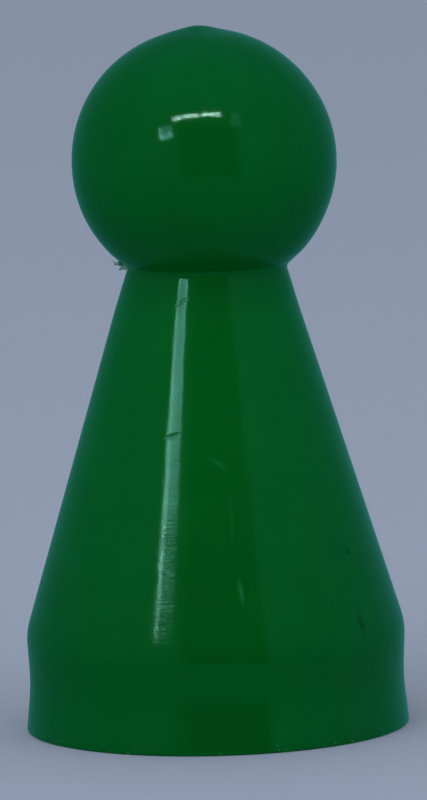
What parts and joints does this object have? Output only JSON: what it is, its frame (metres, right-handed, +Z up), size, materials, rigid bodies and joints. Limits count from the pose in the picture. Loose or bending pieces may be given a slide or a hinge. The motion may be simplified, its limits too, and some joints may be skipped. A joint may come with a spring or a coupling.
{
  "type": "board game pawn",
  "caption": "Ball-headed board game pawn: glossy green plastic shell with a sharp neck, a cone and an upright foot band, closed underneath by a pressed-in plug.",
  "frame": {"origin": "centre of the foot, on the plane that the foot ring stands on", "axes": "+Z up along the turning axis to the ball; -Y is the side that the picture shows"},
  "size_m": [0.013, 0.013, 0.0238],
  "materials": {
    "shell_plastic": "glossy moulded polystyrene, deep green",
    "plug_plastic": "satin moulded polystyrene, deep green"
  },
  "bodies": {
    "root": {"pawn_shell": "shell_plastic", "base_plug": "plug_plastic"}
  },
  "joints": []
}
